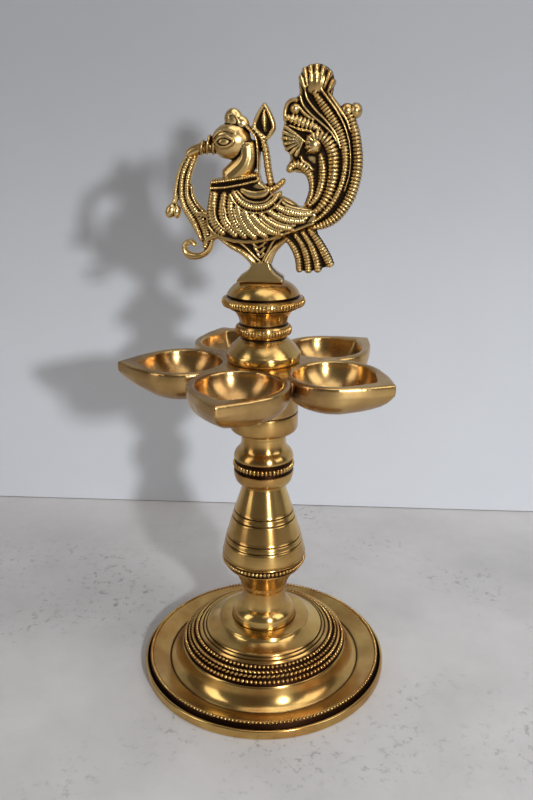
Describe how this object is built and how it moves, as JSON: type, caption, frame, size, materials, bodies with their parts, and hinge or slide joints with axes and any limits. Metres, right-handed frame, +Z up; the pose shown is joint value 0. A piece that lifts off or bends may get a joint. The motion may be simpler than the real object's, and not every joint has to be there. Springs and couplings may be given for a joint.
{
  "type": "oil lamp",
  "caption": "Turned brass table oil lamp with a dished base, a baluster stem, leaf-shaped oil cups round a hub, and a finial with a cast peacock",
  "frame": {"origin": "middle of the lamp's outer box on the plane it stands on; the lamp's own axis is at x 2.0 mm and y 1.9 mm, because five spouts do not balance about it", "axes": "+Z up the lamp's axis; the peacock's plane is X and Z and it looks towards -X; -Y is the side that the picture shows"},
  "size_m": [0.104, 0.1039, 0.2341],
  "materials": {
    "polished": "polished, with dark patina in the grooves",
    "satin": "satin, reddish",
    "antiqued": "antiqued, dark in the carving"
  },
  "bodies": {
    "base": {"base": "polished"},
    "base_stud": {"base_stud": "satin"},
    "stem": {"stem": "polished"},
    "lamp_plate": {"lamp_hub": "satin", "cup_1": "satin", "cup_2": "satin", "cup_3": "satin", "cup_4": "satin", "cup_5": "satin"},
    "top_stud": {"top_stud": "satin"},
    "crown": {"finial": "polished", "bird": "antiqued", "bird_pin": "antiqued"}
  },
  "joints": [
    {"name": "stem_turn", "type": "hinge", "parent": "base", "child": "base_stud", "pos_m": [0.002, 0.0019, 0.021], "axis": [0, 0, 1], "range_deg": [0, 2520]},
    {"name": "stem_lift", "type": "slide", "parent": "base_stud", "child": "stem", "axis": [0, 0, 1], "range_m": [0, 0.0105]},
    {"name": "plate_turn", "type": "hinge", "parent": "stem", "child": "lamp_plate", "pos_m": [0.002, 0.0019, 0.1115], "axis": [0, 0, 1], "continuous": true},
    {"name": "finial_turn", "type": "hinge", "parent": "stem", "child": "top_stud", "pos_m": [0.002, 0.0019, 0.1315], "axis": [0, 0, 1], "range_deg": [0, 2160]},
    {"name": "finial_lift", "type": "slide", "parent": "top_stud", "child": "crown", "axis": [0, 0, 1], "range_m": [0, 0.009]}
  ],
  "couplings": [
    {"joint": "stem_lift", "follows": "stem_turn", "m_per_rad": 0.00023873},
    {"joint": "finial_lift", "follows": "finial_turn", "m_per_rad": 0.00023873}
  ]
}
